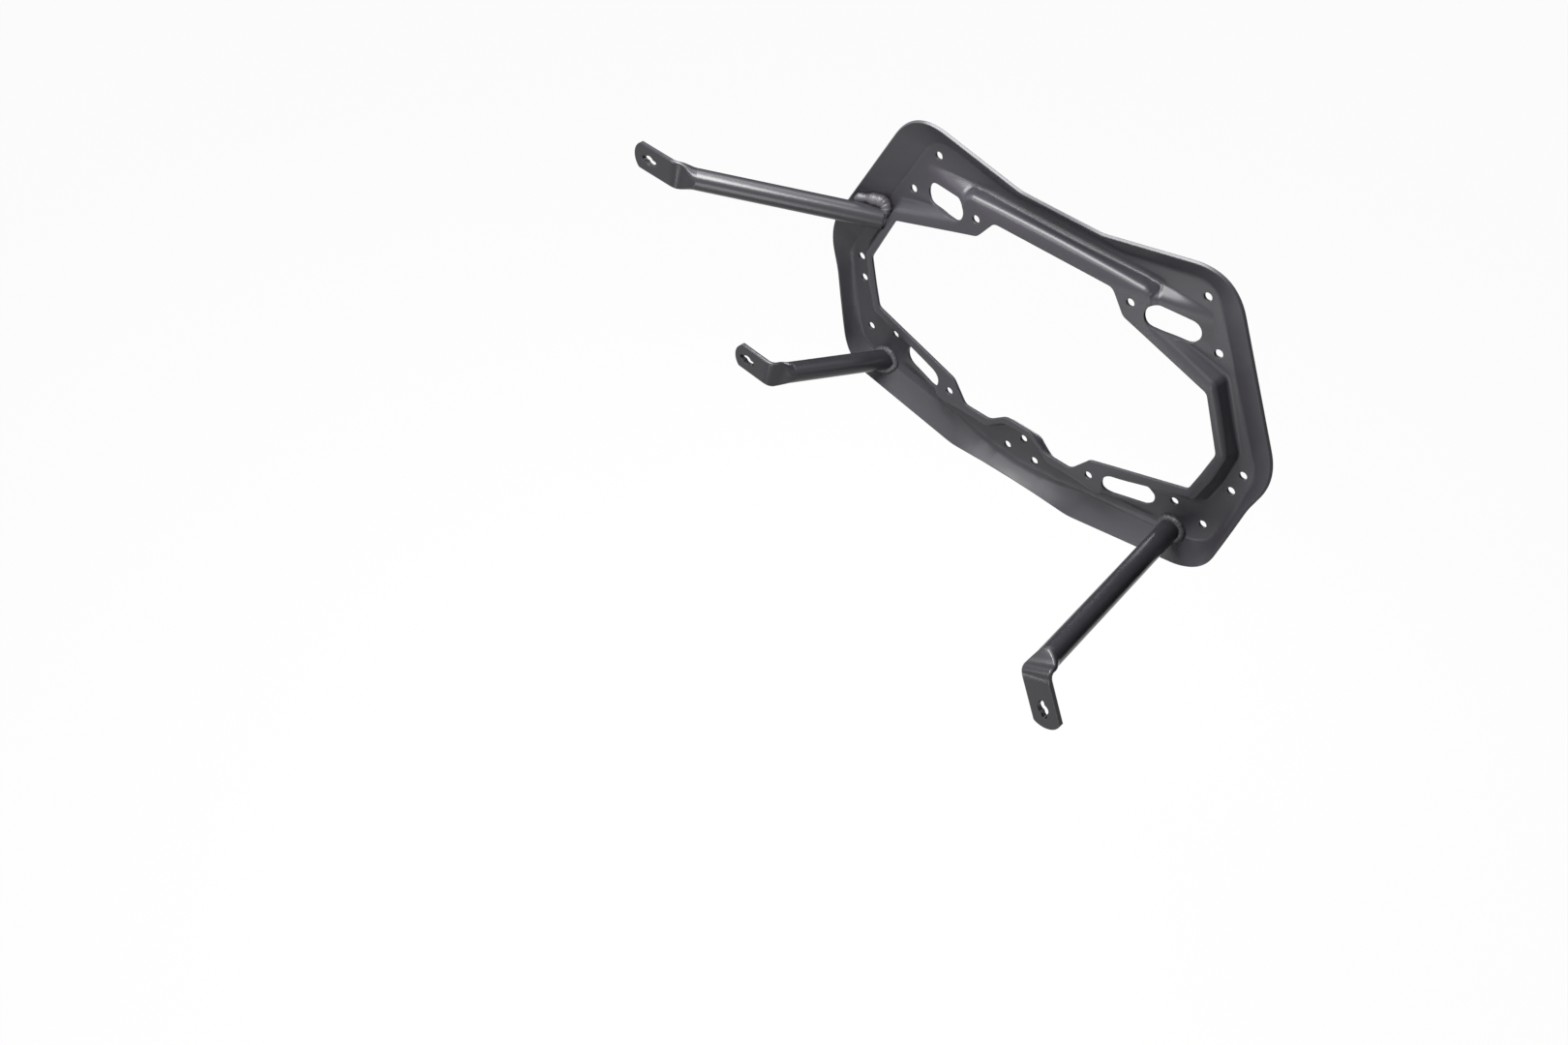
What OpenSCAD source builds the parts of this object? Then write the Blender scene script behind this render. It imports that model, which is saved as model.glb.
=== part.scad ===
// Pannier frame for a motorcycle, right-hand side: a pressed steel plate on three welded tube stays.
// X runs along the plate, Y points away from the machine, Z is up.
// The origin is the centre of the four face bolts, in the middle of the sheet.

/* [Plate] */
// Overall length of the plate
plate_l = 425; // [405:1:445]
// Overall height of the plate
plate_h = 289; // [276:1:302]
// Thickness of the steel sheet
sheet_t = 2.5; // [1.5:0.25:3]
// Depth of the pressing, from the face to the opening lip and to the outer edge
press_depth = 13; // [11:0.5:15]
// Middle-line radius of the bends round the opening
wall_bend_r = 3; // [2.5:0.1:3.1]
// Middle-line radius of the bend to the outer flange
flange_bend_r = 5; // [4:0.25:6]
// Distance from the centre at which the corner ramps leave the face
ramp_top_x = 131.5; // [129:0.5:132]
// Rise of the corner ramps for each millimetre of length
ramp_slope = 0.25; // [0.2:0.01:0.25]

/* [Bolt holes] */
// Diameter of every bolt hole
hole_d = 7; // [5:0.5:9]
// Distance along the plate between the face bolts
face_bolt_x = 286; // [280:1:292]
// Height between the face bolts
face_bolt_z = 147.4; // [143:0.2:152]
// Distance along the plate between the lip bolts
lip_bolt_x = 143.6; // [140:0.2:148]
// Height between the lip bolts
lip_bolt_z = 172.8; // [169:0.2:176]
// Hole pattern along the plate: distance between the two spare holes in the lower bar
bar_hole_x = 28.2; // [22:0.2:36]

/* [Strap slots] */
// Overall length of a slot
slot_l = 43; // [36:0.5:46]
// Width of a slot
slot_w = 19.5; // [14:0.5:22]
// Distance along the plate between the slot centres
slot_x = 211.4; // [208:0.2:214]
// Height between the slot centres
slot_z = 166; // [163:0.5:168]
// Lean of a slot toward the middle line of the plate
slot_lean = 6; // [0:0.5:8]

/* [Stays] */
// Outside diameter of the tube stays
tube_d = 18; // [15:0.5:19]
// Gap left for the weld between the end of the upper stay and the plate
weld_gap = 0.4; // [0:0.1:1]
// Thickness of the flattened tube ends
tab_t = 4.4; // [3:0.2:6]
// Length over which a tube goes from round to flat
pinch_l = 14; // [10:0.5:20]
// Distance from the bolt hole to the tip of the upper and the rear flattened ends
tab_tip = 17.5; // [14:0.5:22]
// Distance from the bolt hole to the tip of the front flattened end
front_tab_tip = 14; // [12:0.5:22]
// Radius of the tip of a flattened end
tip_r = 15.4; // [14:0.2:18]
// Diameter of the round part of the hole in a flattened end
tab_hole_d = 9.5; // [7:0.5:11]
// Width of the slot that runs through the hole
tab_slot_w = 5.3; // [4:0.1:6.5]
// Length of the slot that runs through the hole
tab_slot_l = 17; // [12:0.5:19]
// Distance from the plate to the upper and the front lower flattened ends
near_standoff = 112.5; // [95:0.5:130]
// Distance from the plate to the rear lower flattened end
rear_standoff = 225.8; // [200:0.5:250]

/* [Welds] */
// Radius of the weld beads
bead_r = 4.2; // [3:0.1:5]
// Height of the ripples on the beads, as a part of their radius
bead_ripple = 0.16; // [0:0.01:0.25]

/* [Hidden] */
steel_black = [0.13, 0.135, 0.14];
weld_black = [0.17, 0.17, 0.175];

// The plan is drawn for a plate of 425 x 289 mm and stretched to the size that is set
stretch_x = plate_l / 425;
stretch_z = plate_h / 289;
// Steps in each bend of the sheet
bend_steps = 3;

// Six plan curves of the right half, from the top middle to the bottom middle.
// Each row is [x, z, reach of the round on both sides of the corner], and the same row number
// is the same place on every curve.
outer_edge = [[0, 127.8, 0], [37, 127.8, 4], [143.5, 150.3, 33], [180.3, 78.3, 6], [191.2, 57, 6],
              [217.3, 5.9, 24], [203.5, -32, 6], [197, -62, 6], [184.3, -117.6, 26], [150, -123.8, 5],
              [62, -139.8, 6], [36, -139, 4], [18, -138.4, 4], [0, -138, 0]];
flange_bend = [[0, 113.5, 0], [51, 113.1, 5], [127.5, 127, 15], [152.5, 80, 6], [164, 57.6, 6],
               [197.5, -6, 9], [194, -35, 6], [188, -62, 6], [179, -97, 16], [146, -103.3, 6],
               [75, -116.8, 5], [36, -124.2, 4], [18, -127.6, 4], [0, -131, 0]];
face_edge = [[0, 109.5, 0], [64, 110.5, 5], [ramp_top_x, 104.5, 9], [ramp_top_x, 77, 6], [158.6, 62.6, 3],
             [186.5, 0, 5], [181.5, -30, 5], [172, -61, 4], [ramp_top_x, -77, 6], [ramp_top_x, -101.5, 9],
             [75, -112.5, 5], [36, -111.5, 4], [20, -100, 4], [0, -99, 0]];
wall_top = [[0, 106.2, 0], [73, 106.4, 3], [91, 105.6, 9], [95, 79.6, 4.5], [155, 60.2, 3.5],
            [182.7, 0, 4], [177, -30, 4], [168, -57, 4], [96, -79.6, 4.5], [91, -104.8, 9],
            [73, -105.8, 3], [29.4, -105.3, 4], [13.7, -91.6, 4], [0, -91.4, 0]];
wall_foot = [[0, 99.8, 0], [76, 99.6, 2], [83, 98.4, 4], [87.4, 73.8, 4], [149, 53.4, 3],
             [173, 0, 4], [167.5, -26, 4], [159, -50.5, 3], [88, -73.8, 4], [83, -97.8, 4],
             [75, -98.9, 2], [31.8, -98.2, 4], [16.4, -84.8, 4], [0, -84.2, 0]];
opening = [[0, 91, 0], [55, 91, 4], [68.5, 72.3, 3], [90, 65.5, 5], [148, 46.8, 3],
           [168.5, 0, 3], [161.5, -25, 4], [155.3, -44.5, 3], [90, -65.3, 5], [69.5, -72, 3],
           [54.5, -91, 4], [28.6, -91, 4], [13.4, -79, 4], [0, -79, 0]];
// Steps round each corner, and along the run that comes after each row
corner_steps = [0, 2, 8, 4, 3, 6, 2, 3, 7, 8, 2, 3, 3, 0];
run_steps = [1, 2, 2, 2, 1, 1, 1, 2, 2, 2, 1, 1, 1, 0];
// Rows between which the ramps lie, above and below the opening
ramp_rows = [[2, 4], [7, 9]];
// Part of their end corners that the side walls of the ramps take up
ramp_wall_part = 0.625;

function lerp(a, b, f) = a + (b - a) * f;
function unit(v) = v / norm(v);
function ease(f) = f * f * (3 - 2 * f);
function plan_point(row) = [row.x * stretch_x, row.y * stretch_z];

// The end of a corner's round on the side of the other row
function toward(curve, k, other) =
    plan_point(curve[k]) + curve[k][2] * unit(plan_point(curve[other]) - plan_point(curve[k]));
function run_start(curve, k) = k == 0 ? plan_point(curve[0]) : toward(curve, k, k + 1);
function run_end(curve, k) = k == len(curve) - 2 ? plan_point(curve[k + 1]) : toward(curve, k + 1, k);
function corner_point(curve, k, f) =
    lerp(lerp(toward(curve, k, k - 1), plan_point(curve[k]), f),
         lerp(plan_point(curve[k]), toward(curve, k, k + 1), f), f);

// Stations of the half curve: every corner step, and the inner steps of every run
function half_curve(curve) = [
    for (k = [0:len(curve) - 2])
        each concat(
            k == 0 ? [plan_point(curve[0])]
                   : [for (j = [0:corner_steps[k]]) corner_point(curve, k, j / corner_steps[k])],
            [for (j = [1:1:run_steps[k] - 1]) lerp(run_start(curve, k), run_end(curve, k), j / run_steps[k])]),
    plan_point(curve[len(curve) - 1])
];
// Whole ring: the right half, then its mirror image
function ring(half) = concat(half, [for (i = [len(half) - 2:-1:1]) [-half[i].x, half[i].y]]);

// Share of the ramp at each station: none on the face, eased round the corner rows, all between them
function ramp_part(k, f) =
    k == ramp_rows[0][0] ? ease(max(0, 1 - (1 - f) / ramp_wall_part))
    : k == ramp_rows[1][1] ? ease(max(0, 1 - f / ramp_wall_part))
    : k > ramp_rows[0][0] && k <= ramp_rows[0][1] || k >= ramp_rows[1][0] && k < ramp_rows[1][1] ? 1 : 0;
half_ramp = [
    for (k = [0:len(opening) - 2])
        each concat(
            k == 0 ? [0] : [for (j = [0:corner_steps[k]]) ramp_part(k, j / corner_steps[k])],
            [for (j = [1:1:run_steps[k] - 1]) ramp_part(k, 1)]),
    0
];
ring_ramp = concat(half_ramp, [for (i = [len(half_ramp) - 2:-1:1]) half_ramp[i]]);
function drop(x, part) = part * ramp_slope * max(0, ramp_top_x * stretch_x - abs(x));

// Steepest angle of a bent strip that falls h over the plan width w, with bends that take up "ends" radii
function bend_angle(h, w, r, ends) = 2 * atan(h / (w + sqrt(max(0, w * w + h * (h - 2 * ends * r)))));

// Middle line of the flange from the outer edge in to the face
function flange_rows(o, b) =
    let (w = norm(o - b), out = (o - b) / w, a = bend_angle(press_depth, w, flange_bend_r, 1))
    concat([[o, press_depth]],
           [for (k = [bend_steps:-1:0])
               [b + out * flange_bend_r * sin(a * k / bend_steps), flange_bend_r * (1 - cos(a * k / bend_steps))]]);

// Middle line of the wall from the face, or from the ramp, down to the lip of the opening
function wall_rows(top, foot, part) =
    let (w = norm(foot - top), inward = (foot - top) / w, d = drop(top.x, part), h = press_depth - d,
         r = min(wall_bend_r * press_depth / h, 0.85 * (w * w + h * h) / (4 * h)), a = bend_angle(h, w, r, 2))
    concat([for (k = [0:bend_steps])
               [top + inward * r * sin(a * k / bend_steps), d + r * (1 - cos(a * k / bend_steps))]],
           [for (k = [bend_steps:-1:0])
               [foot - inward * r * sin(a * k / bend_steps), press_depth - r * (1 - cos(a * k / bend_steps))]]);

function section(o, b, c, top, foot, e, part) = [
    for (row = concat(flange_rows(o, b), [[c, drop(c.x, part)]], wall_rows(top, foot, part), [[e, press_depth]]))
        [row[0].x, -row[1], row[0].y]
];
ring_o = ring(half_curve(outer_edge));
ring_b = ring(half_curve(flange_bend));
ring_c = ring(half_curve(face_edge));
ring_t = ring(half_curve(wall_top));
ring_f = ring(half_curve(wall_foot));
ring_e = ring(half_curve(opening));
stations = len(ring_o);
middle = [for (i = [0:stations - 1])
    section(ring_o[i], ring_b[i], ring_c[i], ring_t[i], ring_f[i], ring_e[i], ring_ramp[i])];

// Rows of a section: where the flange meets the face, the face ends, the wall starts and the wall ends
flange_row = bend_steps + 1;
face_row = flange_row + 1;
top_row = face_row + 1;
foot_row = top_row + 2 * bend_steps + 1;
last_row = foot_row + 1;

// Normal of the middle surface, which points outboard; where a bend meets a flat it is the flat's
function normal(i, j) =
    let (a = (j == 0 || j == flange_row || j == foot_row) ? j : j - 1,
         b = (j == last_row || j == top_row || j == face_row) ? j : j + 1,
         n = unit(cross(middle[(i + 1) % stations][j] - middle[(i + stations - 1) % stations][j],
                        middle[i][b] - middle[i][a])))
    j == top_row && middle[i][j].y == 0 ? [0, 1, 0] : n.y < 0 ? -n : n;
normals = [for (i = [0:stations - 1]) [for (j = [0:last_row]) normal(i, j)]];
function skin(side) = [for (i = [0:stations - 1]) [for (j = [0:last_row])
    middle[i][j] + side * sheet_t / 2 * normals[i][j]]];
outboard = skin(1);
inboard = skin(-1);

// Two triangles that fill a cell of a grid, given by its four corners in turn
function cell(a, b, c, d) = [[a, b, c], [a, c, d]];
function flip(faces) = [for (f = faces) [f[2], f[1], f[0]]];

module sheet() {
    rows = last_row + 1;
    size = stations * rows;
    function id(i, j) = (i % stations) * rows + j;
    top = [for (i = [0:stations - 1]) for (j = [0:last_row - 1])
        each cell(id(i, j), id(i, j + 1), id(i + 1, j + 1), id(i + 1, j))];
    base = [for (f = flip(top)) [f[0] + size, f[1] + size, f[2] + size]];
    rims = [for (i = [0:stations - 1]) each concat(
        cell(id(i, 0), id(i + 1, 0), id(i + 1, 0) + size, id(i, 0) + size),
        cell(id(i, last_row), id(i, last_row) + size, id(i + 1, last_row) + size, id(i + 1, last_row)))];
    polyhedron([for (s = outboard) each s, for (s = inboard) each s], concat(top, base, rims));
}

// First station of a row of the plan curves
function station_of(k) = k == 0 ? 0 : station_of(k - 1)
    + (k == 1 ? 0 : corner_steps[k - 1]) + run_steps[k - 1];
// Stations of the lower right corner, and of its mirror image
right_first = station_of(8) + 3;
right_last = station_of(10) - 1;
left_first = stations - right_last;
left_last = stations - right_first;
// Stations of the upper left corner, where the upper stay ends
upper_first = stations - station_of(5) - 2;
upper_last = stations - station_of(4) + 2;

// A straight-sided block that fills all the space outboard of the plate's inboard skin,
// over the given stations and from the outer edge in to the given row of the sections;
// the stays and the welds are trimmed with it
module skin_block(first, last, last_used) {
    rows = last_used + 1;
    columns = last - first + 1;
    size = rows * columns;
    depth_limit = 30;
    near = [for (i = [first:last]) for (j = [0:last_used]) inboard[i % stations][j]];
    far = [for (p = near) [p.x, depth_limit, p.z]];
    function id(i, j) = i * rows + j;
    face = [for (i = [0:columns - 2]) for (j = [0:rows - 2])
        each cell(id(i, j), id(i, j + 1), id(i + 1, j + 1), id(i + 1, j))];
    back = [for (f = flip(face)) [f[0] + size, f[1] + size, f[2] + size]];
    sides = concat(
        [for (i = [0:columns - 2]) each concat(
            cell(id(i, 0), id(i + 1, 0), id(i + 1, 0) + size, id(i, 0) + size),
            cell(id(i + 1, rows - 1), id(i, rows - 1), id(i, rows - 1) + size, id(i + 1, rows - 1) + size))],
        [for (j = [0:rows - 2]) each concat(
            cell(id(0, j + 1), id(0, j), id(0, j) + size, id(0, j + 1) + size),
            cell(id(columns - 1, j), id(columns - 1, j + 1), id(columns - 1, j + 1) + size,
                 id(columns - 1, j) + size))]);
    polyhedron(concat(near, far), flip(concat(face, back, sides)));
}

// Bolt holes in the flange and the corners, as [x, z], and the levels of the two lowest rows
upper_bolt = [123, 113.3];
side_bolts = [[188.7, -16.1], [183.5, -35.3], [170.4, -80.1]];
bar_hole_level = -101.8;
bar_bolt_level = -117.3;
// Bolt holes in the right half; the mirror image gives the left half
half_holes = [
    plan_point(upper_bolt),
    [face_bolt_x / 2, face_bolt_z / 2],
    [face_bolt_x / 2, -face_bolt_z / 2],
    [lip_bolt_x / 2, lip_bolt_z / 2],
    [lip_bolt_x / 2, -lip_bolt_z / 2],
    for (place = side_bolts) plan_point(place),
    [bar_hole_x / 2, bar_bolt_level * stretch_z]
];
middle_hole = [0, bar_hole_level * stretch_z];
// How far a cutter goes past the faces that it cuts
past = 20;

module bolt_hole(place) {
    translate([place.x, past, place.y]) rotate([90, 0, 0]) cylinder(d = hole_d, h = 2 * past, $fn = 48);
}

module strap_slot(side, level) {
    straight = slot_l - slot_w;
    translate([side * slot_x / 2, past, level * slot_z / 2])
        rotate([90, 0, 0])
            rotate(-side * level * slot_lean)
                linear_extrude(2 * past) {
                    square([straight, slot_w], center = true);
                    for (end = [-1, 1]) translate([end * straight / 2, 0]) circle(d = slot_w, $fn = 48);
                }
}

module pressed_plate() {
    color(steel_black)
        difference() {
            sheet();
            for (side = [-1, 1]) for (place = half_holes) bolt_hole([side * place.x, place.y]);
            bolt_hole(middle_hole);
            for (side = [-1, 1]) for (level = [-1, 1]) strap_slot(side, level);
        }
}

// Each stay: where its axis meets the middle of the plate, where it meets the middle of its
// flattened end, and the centre of the bolt hole in that end
upper_foot = [-153.7 * stretch_x, 0, 35.8 * stretch_z];
upper_knee = [-301.7, -near_standoff, 60];
upper_hole = [-329, -near_standoff, 60.6];
front_foot = [-148.7 * stretch_x, 0, -104.9 * stretch_z];
front_knee = [-186.4, -near_standoff, -81.4];
front_hole = [-211.6, -near_standoff, -79.5];
rear_foot = [146.1 * stretch_x, 0, -101.3 * stretch_z];
rear_knee = [173.9, -rear_standoff, -65.9];
rear_hole = [187.3, -rear_standoff, -93.6];
// Distance from the knee at which the bend of a flattened end starts and stops
knee_reach = [3.6, 5.5, 6.5];
// Sides of the tube round the bend, and steps along the pinch and the bend
tube_sides = 24;
pinch_steps = 5;
knee_steps = 5;
// The pinched part starts this far inside the round part and ends this far inside the flat part
seat = 2;
// The pinched part is this much slimmer than what it goes into
slack = 0.05;
// The round part and the flat part stop this far from the rings where the pinch starts and ends
ring_gap = 0.3;
tab_w = flat_half(tab_t / 2) * 2;

// Half width of a tube pressed to the half thickness t; its girth stays as it was
function flat_half(t) = t + PI * (tube_d / 2 - t) / 2;
// Outline of the pressed tube, as points [across, through]
function tube_outline(t, inset) = [
    for (k = [0:tube_sides - 1])
        let (a = (k + 0.5) * 360 / tube_sides)
        [sign(cos(a)) * (flat_half(t) - t) + (t - inset) * cos(a), (t - inset) * sin(a)]
];
// Outline set across the direction "along", with its width as near as it can be to "across"
function placed_outline(t, inset, centre, along, across) =
    let (w = unit(across - (across * along) * along), n = cross(w, along))
    [for (p = tube_outline(t, inset)) centre + p[0] * w + p[1] * n];

// The tube from round to flat, and the bend that lays the flat parallel to the plate
module pinch(foot, knee, hole, bend) {
    out = unit(knee - foot);
    flat = unit(hole - knee);
    across = cross(flat, [0, 1, 0]);
    start = knee - (bend + pinch_l) * out;
    bend_from = knee - bend * out;
    bend_to = knee + bend * flat;
    rings = concat(
        [placed_outline(tube_d / 2, slack, start - seat * out, out, across)],
        [for (k = [0:pinch_steps])
            let (f = k / pinch_steps)
            placed_outline(lerp(tube_d / 2, tab_t / 2, ease(f)), slack, lerp(start, bend_from, f), out, across)],
        [for (k = [1:knee_steps])
            let (f = k / knee_steps)
            placed_outline(tab_t / 2, slack, lerp(lerp(bend_from, knee, f), lerp(knee, bend_to, f), f),
                           unit(lerp(out, flat, f)), across)],
        [placed_outline(tab_t / 2, slack, bend_to + seat * flat, flat, across)]);
    sides = [for (i = [0:len(rings) - 2]) for (k = [0:tube_sides - 1])
        let (n = (k + 1) % tube_sides)
        each cell(i * tube_sides + k, i * tube_sides + n, (i + 1) * tube_sides + n, (i + 1) * tube_sides + k)];
    polyhedron([for (r = rings) each r],
               concat(sides, [[for (k = [tube_sides - 1:-1:0]) k],
                              [for (k = [0:tube_sides - 1]) (len(rings) - 1) * tube_sides + k]]));
}

// The round part, from "short" of the foot to the pinch
module round_stay(foot, knee, bend, short) {
    out = unit(knee - foot);
    length = norm(knee - foot) - bend - pinch_l - ring_gap - short;
    frame_z = out;
    frame_x = unit(cross([0, 1, 0], out));
    frame_y = cross(frame_z, frame_x);
    origin = foot + short * out;
    multmatrix([[frame_x.x, frame_y.x, frame_z.x, origin.x],
                [frame_x.y, frame_y.y, frame_z.y, origin.y],
                [frame_x.z, frame_y.z, frame_z.z, origin.z]])
        cylinder(d = tube_d, h = length, $fn = 64);
}

// The flattened end, with its round tip and its slotted bolt hole
module tab(knee, hole, bend, tip) {
    flat = unit(hole - knee);
    across = cross(flat, [0, 1, 0]);
    start = knee + (bend + ring_gap) * flat;
    hole_at = norm(hole - start);
    length = hole_at + tip;
    multmatrix([[across.x, 0, flat.x, start.x],
                [across.y, 1, flat.y, start.y],
                [across.z, 0, flat.z, start.z]])
        difference() {
            intersection() {
                linear_extrude(length) polygon(tube_outline(tab_t / 2, 0));
                union() {
                    translate([0, 0, length - tip_r]) rotate([90, 0, 0])
                        cylinder(r = tip_r, h = 2 * tab_t, center = true, $fn = 96);
                    translate([-tab_w, -tab_t, -1]) cube([2 * tab_w, 2 * tab_t, length - tip_r + 1]);
                }
            }
            translate([0, 0, hole_at]) rotate([90, 0, 0]) {
                cylinder(d = tab_hole_d, h = 2 * tab_t, center = true, $fn = 48);
                linear_extrude(2 * tab_t, center = true) {
                    square([tab_slot_w, tab_slot_l - tab_slot_w], center = true);
                    for (end = [-1, 1])
                        translate([0, end * (tab_slot_l - tab_slot_w) / 2]) circle(d = tab_slot_w, $fn = 32);
                }
            }
        }
}

// The upper stay is cut square where its outboard side reaches the face
upper_slope = abs(unit(upper_knee - upper_foot).y);
upper_short = (tube_d / 2 * sqrt(1 - upper_slope * upper_slope) + sheet_t / 2) / upper_slope + weld_gap;

module upper_tube() {
    color(steel_black) {
        round_stay(upper_foot, upper_knee, knee_reach[0], upper_short);
        pinch(upper_foot, upper_knee, upper_hole, knee_reach[0]);
        tab(upper_knee, upper_hole, knee_reach[0], tab_tip);
    }
}

// The lower stays are fitted to the bend between the face and the flange
module front_lower_tube() {
    color(steel_black) {
        difference() {
            round_stay(front_foot, front_knee, knee_reach[1], 0);
            skin_block(left_first, left_last, top_row);
        }
        pinch(front_foot, front_knee, front_hole, knee_reach[1]);
        tab(front_knee, front_hole, knee_reach[1], front_tab_tip);
    }
}

module rear_lower_tube() {
    color(steel_black) {
        difference() {
            round_stay(rear_foot, rear_knee, knee_reach[2], 0);
            skin_block(right_first, right_last, top_row);
        }
        pinch(rear_foot, rear_knee, rear_hole, knee_reach[2]);
        tab(rear_knee, rear_hole, knee_reach[2], tab_tip);
    }
}

// Ripples of a bead: its radius at the angle a along it, with slow swells and quick beads of metal
function ripple(a) = 1 + bead_ripple * (sin(a) + 0.7 * sin(2.6 * a + 50));
// Corners round a bead, and the part of a step that they are turned by, which keeps them off the tube's skin
bead_sides = 8;
bead_turn = 0.35;
// Ring of points round one place on a bead
function bead_ring(centre, along, side, r) =
    let (w = unit(side - (side * along) * along), n = cross(along, w))
    [for (k = [0:bead_sides - 1])
        let (a = (k + bead_turn) * 360 / bead_sides) centre + r * (cos(a) * w - sin(a) * n)];

// A bead with round-over ends along an open path of [place, radius] rows
module open_bead(path, steps) {
    last = len(path) - 1;
    count = last * steps;
    function place(i) =
        let (k = min(last - 1, floor(i / steps)), f = i / steps - k)
        lerp(path[k][0], path[k + 1][0], f);
    function radius(i) =
        let (k = min(last - 1, floor(i / steps)), f = i / steps - k)
        lerp(path[k][1], path[k + 1][1], f) * ripple(i * 110) * (i == 0 || i == count ? 0.45 : 1);
    rings = [for (i = [0:count])
        bead_ring(place(i), unit(place(min(count, i + 1)) - place(max(0, i - 1))), [0, 1, 0], radius(i))];
    sides = [for (i = [0:count - 1]) for (k = [0:bead_sides - 1])
        let (n = (k + 1) % bead_sides)
        each cell(i * bead_sides + k, i * bead_sides + n, (i + 1) * bead_sides + n, (i + 1) * bead_sides + k)];
    polyhedron([for (r = rings) each r],
               concat(sides, [[for (k = [bead_sides - 1:-1:0]) k],
                              [for (k = [0:bead_sides - 1]) count * bead_sides + k]]));
}

// Depth of the plate's inboard skin near a lower corner
function corner_skin(x, z) =
    let (a = plan_point(flange_bend[9]), b = plan_point(flange_bend[8]),
         edge = a.y + (b.y - a.y) * (abs(x) - a.x) / (b.x - a.x),
         flange_w = edge - plan_point(outer_edge[9]).y)
    -sheet_t / 2 - press_depth * max(0, edge - z) / flange_w;
// Where a line on the side of a stay meets that skin
function contact(start, out, s, tries) =
    let (p = start + s * out)
    tries == 0 ? p : contact(start, out, (corner_skin(p.x, p.z) - start.y) / out.y, tries - 1);

// A bead all round the foot of a lower stay
module foot_bead(foot, knee, turned) {
    out = unit(knee - foot);
    ex = unit(cross([0, 0, 1], out));
    ey = cross(out, ex);
    steps = 24;
    function radial(i) = cos(i * 360 / steps) * ex + sin(i * 360 / steps) * ey;
    rings = [for (i = [0:steps - 1])
        bead_ring(contact(foot + tube_d / 2 * radial(i), out, 0, 6), cross(out, radial(i)), radial(i),
                  bead_r * ripple(i * 105 + turned))];
    faces = [for (i = [0:steps - 1]) for (k = [0:bead_sides - 1])
        let (m = (i + 1) % steps, n = (k + 1) % bead_sides)
        each cell(i * bead_sides + k, i * bead_sides + n, m * bead_sides + n, m * bead_sides + k)];
    polyhedron([for (r = rings) each r], faces);
}

// The upper weld runs from the plate's outer edge along the stay, then down over its end.
// Its rows are [[up, outboard, along], radius], measured from the stay's axis and its cut end.
upper_run = [[[4.2, 12.6, 26], 4.6], [[9.8, 9, 14.1], 5.2], [[11.9, 5.7, 3.7], 5.4], [[9.3, 2.3, -0.5], 4.8],
             [[3.5, 0, -1.2], 3.4], [[-2.4, -0.9, -1.4], 3.2], [[-7.5, -0.9, -1.3], 2.6]];
upper_run_steps = 3;
upper_out = unit(upper_knee - upper_foot);
upper_up = unit(cross([0, 1, 0], upper_out));
upper_side = cross(upper_out, upper_up);
function by_upper_stay(row) =
    upper_foot + row[0].x * upper_up + row[0].y * upper_side + (row[0].z + upper_short) * upper_out;

module upper_weld() {
    color(weld_black)
        difference() {
            open_bead([for (row = upper_run) [by_upper_stay(row), row[1]]], upper_run_steps);
            round_stay(upper_foot, upper_knee, knee_reach[0], upper_short);
            skin_block(upper_first, upper_last, last_row);
        }
}

module front_lower_weld() {
    color(weld_black)
        difference() {
            foot_bead(front_foot, front_knee, 0);
            round_stay(front_foot, front_knee, knee_reach[1], -past);
            skin_block(left_first, left_last, top_row);
        }
}

module rear_lower_weld() {
    color(weld_black)
        difference() {
            foot_bead(rear_foot, rear_knee, 130);
            round_stay(rear_foot, rear_knee, knee_reach[2], -past);
            skin_block(right_first, right_last, top_row);
        }
}

pressed_plate();
upper_tube();
front_lower_tube();
rear_lower_tube();
upper_weld();
front_lower_weld();
rear_lower_weld();
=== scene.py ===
# %% [markdown]
# # A powder-coated pannier frame
# The object is one pressed steel plate with three tubular stays welded to its inboard side.
# Its solids come ready made from the CAD model, so this script does what CAD can't: it draws the pressed
# sheet again with smooth bends, gives each part its coat of powder paint, and lays finer weld beads where
# the stays meet the plate. Lengths are in metres. Only the sheet is drawn in millimetres, from its plan
# curves to its holes, and it is turned into metres where its mesh is made.

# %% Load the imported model
import math

import bpy
import numpy as np
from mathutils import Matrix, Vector, noise
from mathutils.bvhtree import BVHTree


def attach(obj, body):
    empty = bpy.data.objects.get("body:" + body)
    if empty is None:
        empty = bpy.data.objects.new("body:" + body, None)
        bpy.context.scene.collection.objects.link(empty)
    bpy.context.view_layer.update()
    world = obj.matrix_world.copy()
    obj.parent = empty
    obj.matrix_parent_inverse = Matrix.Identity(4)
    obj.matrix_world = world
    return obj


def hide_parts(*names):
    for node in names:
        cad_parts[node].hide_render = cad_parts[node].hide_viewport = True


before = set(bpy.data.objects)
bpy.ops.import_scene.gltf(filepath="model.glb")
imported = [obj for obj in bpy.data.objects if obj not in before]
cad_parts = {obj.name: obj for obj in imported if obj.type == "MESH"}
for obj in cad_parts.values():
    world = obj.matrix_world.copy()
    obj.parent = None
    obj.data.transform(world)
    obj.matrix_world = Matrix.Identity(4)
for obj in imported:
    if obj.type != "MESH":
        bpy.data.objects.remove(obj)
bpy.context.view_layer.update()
print("CAD nodes:", sorted(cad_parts))

# %% [markdown]
# ## A helper for new objects
# In Blender a mesh, a lamp or a camera is data, and an object puts that data in the scene. The tools of
# bpy.ops would make both at once, but what they do depends on what is active just then. So a short helper
# makes the object for some data and links it to the scene.


# %% New objects
def new_object(name, data):
    """Puts a mesh, a lamp or a camera in the scene as an object."""
    made = bpy.data.objects.new(name, data)
    bpy.context.scene.collection.objects.link(made)
    return made


print("new objects go into the", bpy.context.scene.collection.name)

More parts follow.
